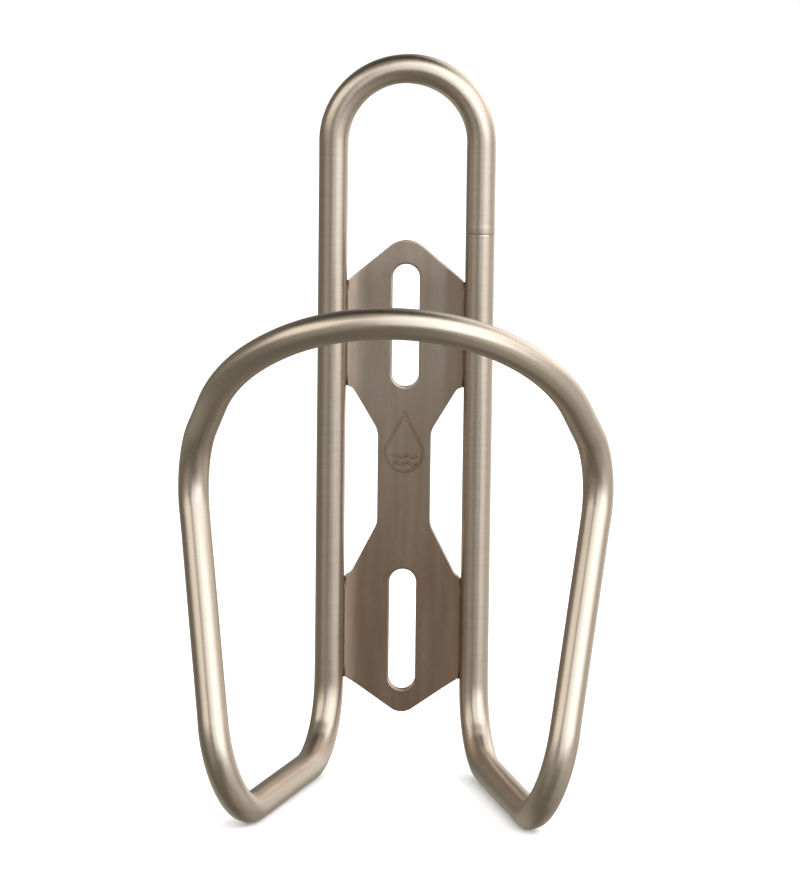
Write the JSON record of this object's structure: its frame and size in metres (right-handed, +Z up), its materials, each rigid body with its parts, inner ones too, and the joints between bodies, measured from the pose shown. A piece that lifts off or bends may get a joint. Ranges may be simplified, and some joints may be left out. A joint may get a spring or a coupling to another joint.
{
  "type": "water bottle cage",
  "caption": "Bicycle water bottle cage bent from one metal tube: top loop, two rails, base, arms and a front hoop, welded to a slotted back plate.",
  "frame": {"origin": "midway between the two bolt slots, on the back face of the plate", "axes": "+Z up along the plate, +Y out of the plate's back face towards the bicycle frame, -Y towards the bottle, +X to the right of someone who faces the bottle side"},
  "size_m": [0.086, 0.0823, 0.1494],
  "materials": {
    "tube": "bare titanium tube, brushed around its circumference, warm grey",
    "plate": "bare titanium plate, finely brushed",
    "weld": "rippled titanium weld bead, dressed smooth at the front"
  },
  "bodies": {
    "root": {"formed_tube": "tube", "joint_spigot": "tube", "back_plate": "plate", "weld_upper_left": "weld", "weld_upper_right": "weld", "weld_lower_left": "weld", "weld_lower_right": "weld"}
  },
  "joints": []
}
